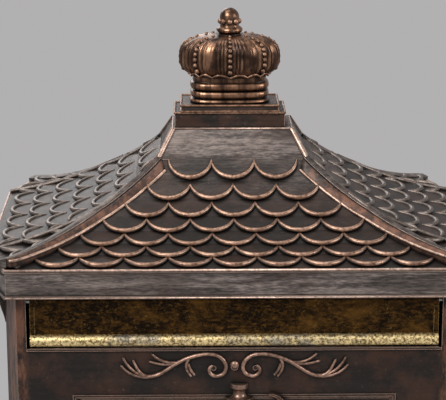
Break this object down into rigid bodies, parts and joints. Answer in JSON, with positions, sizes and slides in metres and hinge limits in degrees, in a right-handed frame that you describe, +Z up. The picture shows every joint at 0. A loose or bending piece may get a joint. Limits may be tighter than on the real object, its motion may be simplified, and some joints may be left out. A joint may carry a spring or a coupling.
{
  "type": "post-mounted mailbox",
  "caption": "Cast metal mailbox on a fluted post, with a fish-scale roof, crown finial, hinged letter flap and lockable door.",
  "frame": {"origin": "middle of the ground plinth's underside, on the ground", "axes": "+Z up, the front with the letter flap and the door faces -Y, +X to the viewer's right from the front"},
  "size_m": [0.4124, 0.2844, 1.1656],
  "materials": {
    "antique_bronze": "dark bronze paint on cast aluminium, rubbed copper on raised edges",
    "copper_bronze": "dark bronze paint rubbed back to copper",
    "antique_brass": "mottled antique brass",
    "zinc_steel": "zinc plated"
  },
  "bodies": {
    "case": {"crown_finial": "copper_bronze", "finial_plinth": "antique_bronze", "finial_stud": "zinc_steel", "finial_washer": "zinc_steel", "finial_nut": "zinc_steel", "roof": "antique_bronze", "front_panel": "antique_bronze", "left_panel": "antique_bronze", "right_panel": "antique_bronze", "back_panel": "antique_bronze", "floor_plate": "antique_bronze", "flap_rod": "zinc_steel", "door_pins": "zinc_steel", "case_screws": "zinc_steel", "post_bolts": "zinc_steel", "post_nuts": "zinc_steel", "post_capital": "antique_bronze", "post_column": "antique_bronze", "post_base": "antique_bronze", "ground_plinth": "antique_bronze", "tie_rod": "zinc_steel", "tie_washers": "zinc_steel", "tie_nuts": "zinc_steel"},
    "flap": {"letter_flap": "antique_brass"},
    "front_door": {"door": "antique_bronze", "door_emblem": "copper_bronze", "emblem_rivets": "copper_bronze", "lock_body": "zinc_steel", "lock_nut": "zinc_steel"},
    "lock": {"lock_plug": "zinc_steel", "lock_cam": "zinc_steel", "lock_screw": "zinc_steel"}
  },
  "joints": [
    {"name": "flap_hinge", "type": "hinge", "parent": "case", "child": "flap", "pos_m": [0, -0.121, 0.9415], "axis": [-1, 0, 0], "range_deg": [0, 80]},
    {"name": "door_hinge", "type": "hinge", "parent": "case", "child": "front_door", "pos_m": [-0.127, -0.1228, 0.756], "axis": [0, 0, -1], "range_deg": [0, 90]},
    {"name": "lock_turn", "type": "hinge", "parent": "front_door", "child": "lock", "pos_m": [0.1105, -0.12, 0.756], "axis": [0, -1, 0], "range_deg": [0, 90]}
  ]
}
